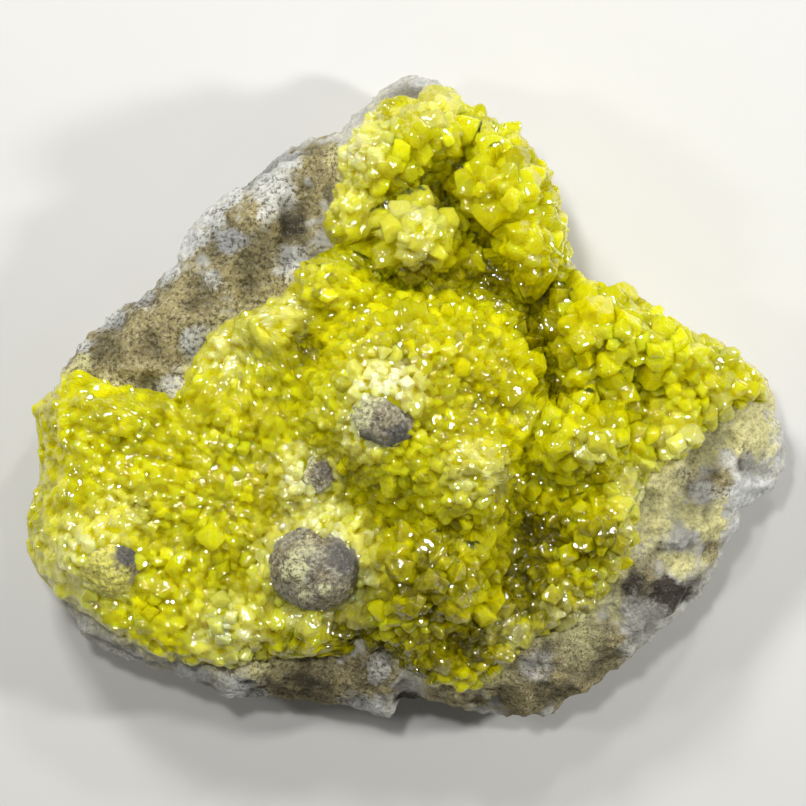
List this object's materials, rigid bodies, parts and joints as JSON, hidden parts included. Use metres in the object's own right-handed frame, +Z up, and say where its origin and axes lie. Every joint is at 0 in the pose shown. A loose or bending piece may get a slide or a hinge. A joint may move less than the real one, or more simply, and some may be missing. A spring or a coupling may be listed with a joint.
{
  "type": "native sulfur crystal specimen",
  "caption": "Mineral specimen: a druse of intergrown yellow sulfur crystals on a rough rock slab with bare rounded knobs, sawn flat underneath to lie on its back.",
  "frame": {"origin": "middle of the flat base that the specimen rests on", "axes": "+Z up out of the crystals, +Y towards the narrow end of the slab, +X towards its long right arm"},
  "size_m": [0.1991, 0.1677, 0.0689],
  "materials": {
    "rock": "rough weathered rock, tan to chalky white",
    "sulfur": "bright resinous yellow crystal faces, translucent"
  },
  "bodies": {
    "root": {"rock_matrix": "rock", "sulfur_crust": "sulfur"}
  },
  "joints": []
}
